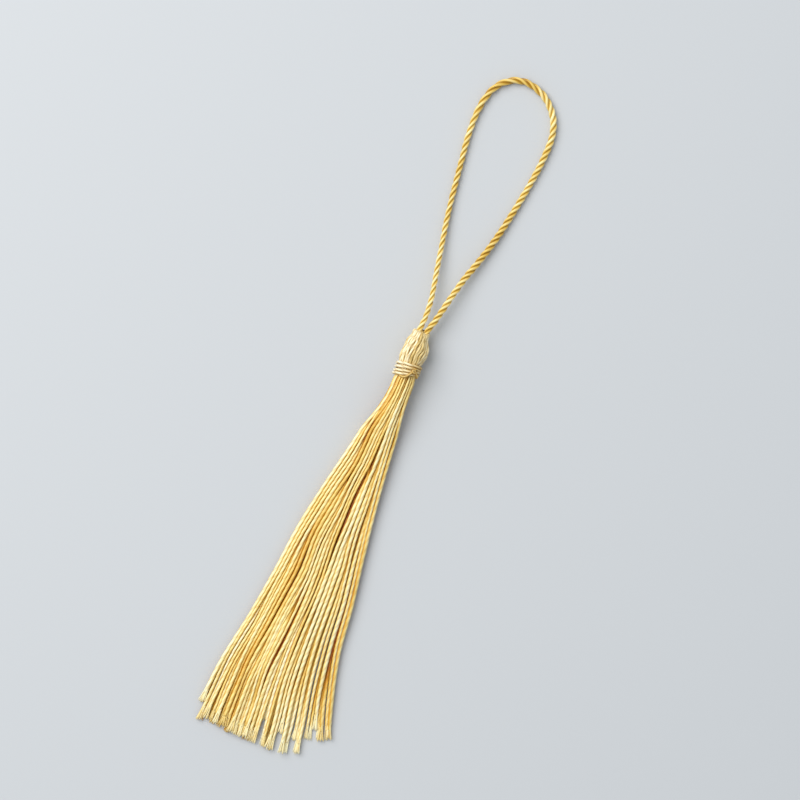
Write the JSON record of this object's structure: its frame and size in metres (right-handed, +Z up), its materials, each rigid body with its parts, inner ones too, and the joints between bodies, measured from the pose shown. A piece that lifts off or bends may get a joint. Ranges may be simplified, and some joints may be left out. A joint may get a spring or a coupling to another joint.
{
  "type": "tassel",
  "caption": "Flat-lying yarn tassel with a folded head, a bound neck, a loose fringe skirt and a twisted hanging loop.",
  "frame": {"origin": "on the surface that the tassel lies on, in the middle of the small flat spot under the head", "axes": "+Y along the tassel from the skirt towards the loop, +Z up from the surface, +X to the right"},
  "size_m": [0.0254, 0.1322, 0.0052],
  "materials": {
    "silky_yarn": "pale gold two-ply yarn with a silky sheen",
    "binding_yarn": "the same pale gold yarn, wound tight",
    "twisted_cord": "golden yellow twisted cord with a silky sheen"
  },
  "bodies": {
    "root": {"head_and_skirt": "silky_yarn", "neck_binding": "binding_yarn", "hanging_loop": "twisted_cord"}
  },
  "joints": []
}
